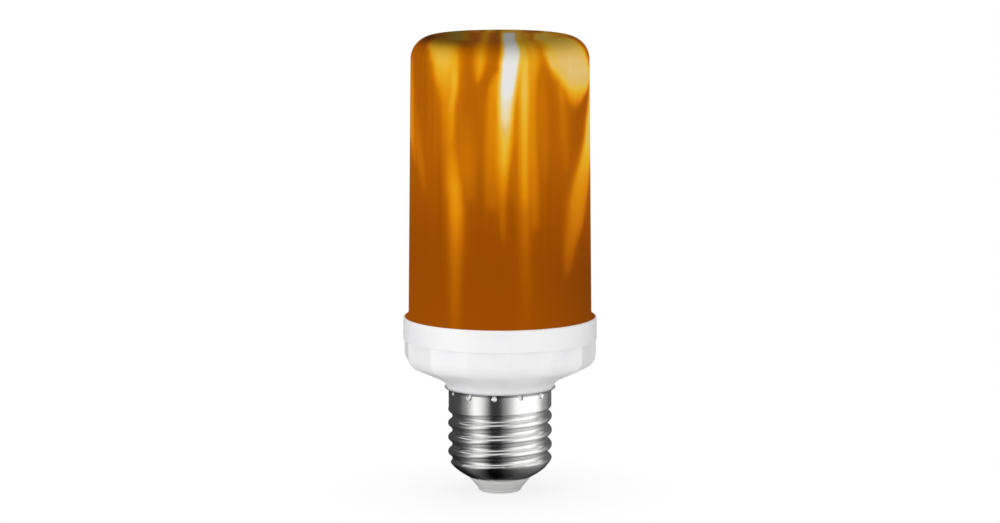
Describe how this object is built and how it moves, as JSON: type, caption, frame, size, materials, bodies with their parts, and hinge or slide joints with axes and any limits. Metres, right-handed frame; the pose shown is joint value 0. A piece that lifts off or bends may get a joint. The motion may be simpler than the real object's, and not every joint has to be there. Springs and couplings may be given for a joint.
{
  "type": "flame effect led bulb",
  "caption": "LED lamp with an upright frosted tube that shows a flickering flame, on a faceted white housing and an Edison screw cap.",
  "frame": {"origin": "on the bulb's axis, at the end face of the centre contact of the screw cap", "axes": "+Z along the axis from the centre contact to the flame end; the side the picture shows looks along -Y"},
  "size_m": [0.0488, 0.0488, 0.116],
  "materials": {
    "cover_plastic": "satin frosted polycarbonate, lit amber from inside",
    "white_plastic": "moulded white plastic with a soft gloss",
    "nickel_plate": "bright nickel plate on rolled sheet",
    "grey_plastic": "matt moulded plastic",
    "contact_metal": "nickel plated pin",
    "white_board": "white solder mask",
    "screw_steel": "zinc plated",
    "core_plastic": "moulded plastic",
    "led_package": "phosphor in a small white package",
    "black_epoxy": "moulded epoxy",
    "green_board": "green solder mask on glass fibre board",
    "capacitor_sleeve": "shrunk plastic sleeve on an aluminium can",
    "resistor_body": "flameproof lacquer",
    "film_box": "moulded box",
    "inductor_coil": "enamelled wire on a ferrite drum",
    "lead_red": "insulated lead",
    "lead_black": "insulated lead"
  },
  "bodies": {
    "root": {"diffuser_cover": "cover_plastic", "housing_collar": "white_plastic", "housing_body": "white_plastic", "screw_shell": "nickel_plate", "cap_insulator": "grey_plastic", "centre_contact": "contact_metal", "base_board": "white_board", "board_screws": "screw_steel", "lamp_core": "core_plastic", "led_sleeve": "white_board", "side_leds": "led_package", "top_led_board": "white_board", "top_leds": "led_package", "flame_chip": "black_epoxy", "driver_board": "green_board", "bulk_capacitor": "capacitor_sleeve", "fuse_resistor": "resistor_body", "film_capacitor": "film_box", "bridge_rectifier": "black_epoxy", "control_chip": "black_epoxy", "power_inductor": "inductor_coil", "contact_lead": "lead_red", "shell_lead": "lead_black", "supply_lead_right": "lead_red", "supply_lead_left": "lead_black"}
  },
  "joints": []
}
